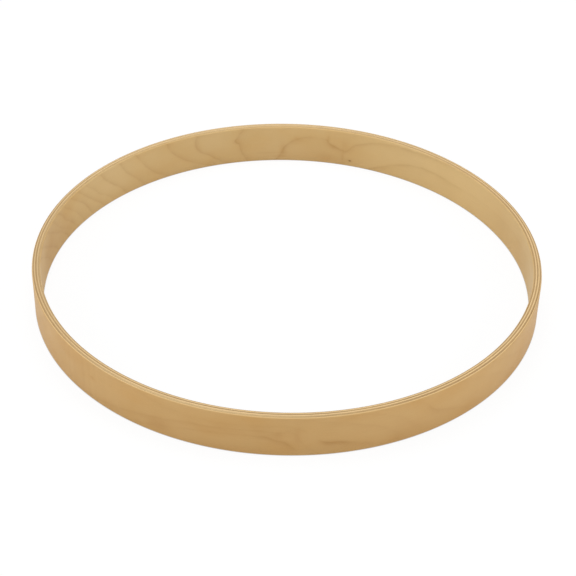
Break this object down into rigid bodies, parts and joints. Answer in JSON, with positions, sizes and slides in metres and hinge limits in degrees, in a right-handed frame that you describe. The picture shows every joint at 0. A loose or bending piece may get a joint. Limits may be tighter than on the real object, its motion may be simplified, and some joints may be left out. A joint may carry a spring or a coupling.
{
  "type": "drum hoop",
  "caption": "Laminated maple bass-drum hoop: a plain bent ring with a rounded front rim and a square bearing edge that holds a drumhead.",
  "frame": {"origin": "centre of the hoop, in the plane of the square bearing edge that it rests on", "axes": "+Z along the hoop's axis from the bearing edge to the rounded front edge; +X and +Y in the plane of the hoop, with the outer face ply's scarf joint at +Y"},
  "size_m": [0.5826, 0.5826, 0.0512],
  "materials": {
    "face_maple": "clear satin lacquer over sanded rotary-cut maple with soft growth-ring figure",
    "long_grain_maple": "clear satin lacquer over the edges of veneers whose grain runs round the hoop",
    "cross_grain_maple": "clear satin lacquer over end grain, which soaks it up and darkens",
    "cured_glue": "thin amber adhesive film between veneers"
  },
  "bodies": {
    "root": {"inner_face_ply": "face_maple", "inner_cross_ply": "cross_grain_maple", "inner_long_ply": "long_grain_maple", "middle_cross_ply": "cross_grain_maple", "outer_long_ply": "long_grain_maple", "outer_cross_ply": "cross_grain_maple", "outer_face_ply": "face_maple", "glue_line_1": "cured_glue", "glue_line_2": "cured_glue", "glue_line_3": "cured_glue", "glue_line_4": "cured_glue", "glue_line_5": "cured_glue", "glue_line_6": "cured_glue", "scarf_glue_1": "cured_glue", "scarf_glue_2": "cured_glue", "scarf_glue_3": "cured_glue", "scarf_glue_4": "cured_glue", "scarf_glue_5": "cured_glue", "scarf_glue_6": "cured_glue", "scarf_glue_7": "cured_glue"}
  },
  "joints": []
}
